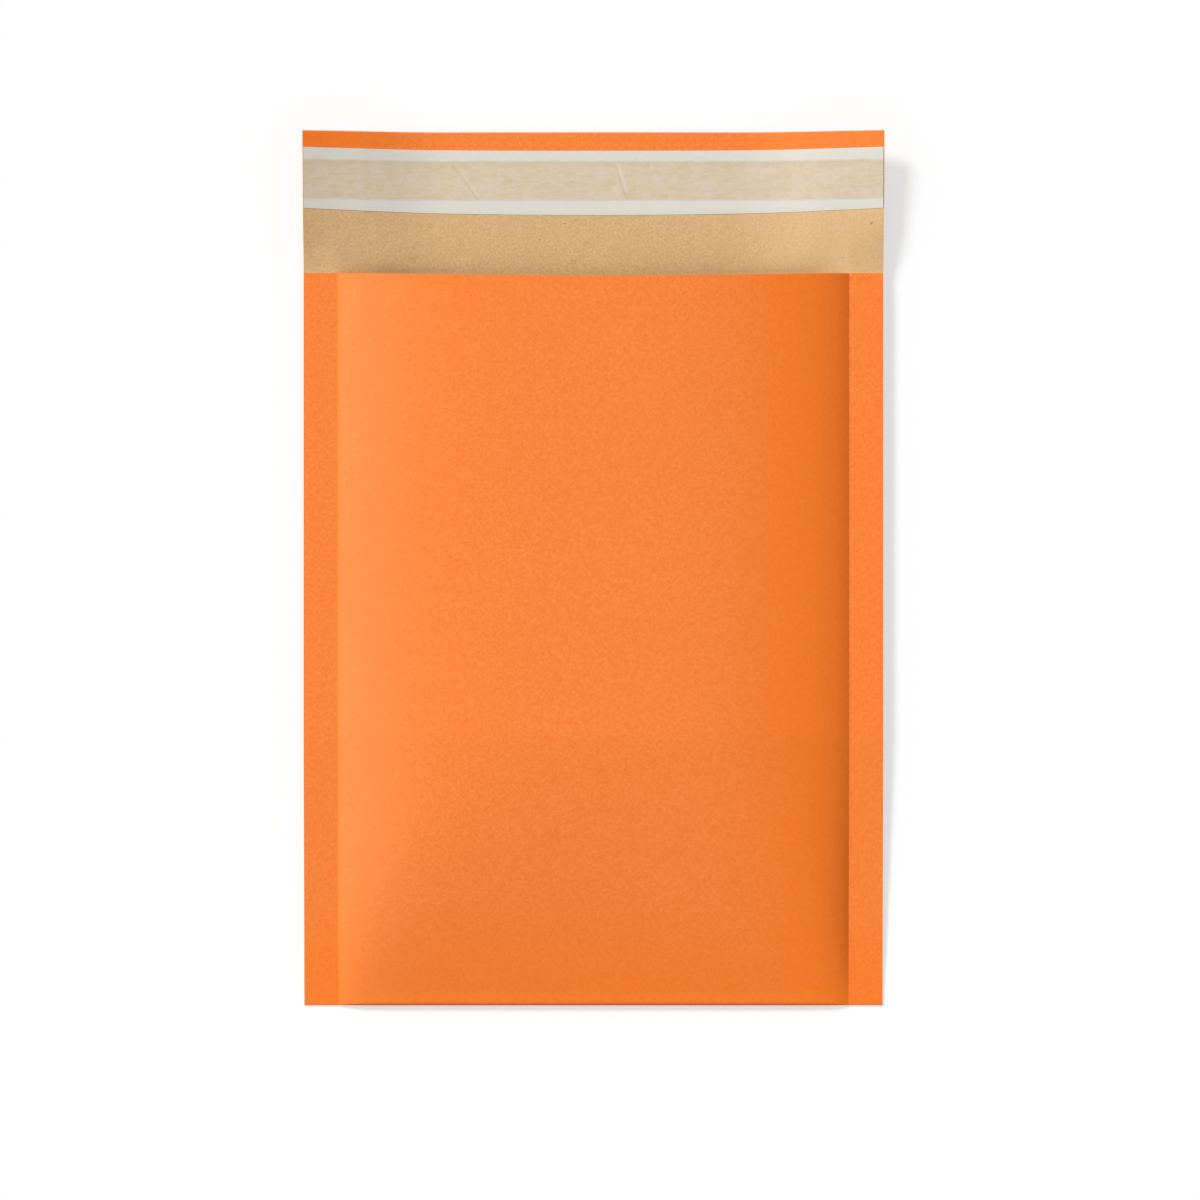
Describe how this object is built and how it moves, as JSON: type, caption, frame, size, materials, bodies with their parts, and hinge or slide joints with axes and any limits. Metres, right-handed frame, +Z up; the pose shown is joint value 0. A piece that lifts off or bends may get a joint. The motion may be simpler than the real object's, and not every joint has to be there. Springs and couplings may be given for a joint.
{
  "type": "padded envelope",
  "caption": "Bubble-lined paper mailer lying on its back, open at the mouth, with its flap unfolded and the release liner still over the adhesive.",
  "frame": {"origin": "on the table under the middle of the envelope's whole length and width", "axes": "+X across the envelope, +Y from the bottom fold to the end of the open flap, +Z up through the padded front"},
  "size_m": [0.204, 0.3084, 0.0148],
  "materials": {
    "orange_paper": "matte coloured kraft paper, orange outside and brown inside",
    "bubble_film": "clear air-bubble film",
    "adhesive": "hot-melt adhesive seen over brown paper",
    "release_paper": "smooth silicone-coated release liner"
  },
  "bodies": {
    "root": {"paper_envelope": "orange_paper", "bubble_lining": "bubble_film", "adhesive_strip": "adhesive", "release_liner": "release_paper"}
  },
  "joints": []
}
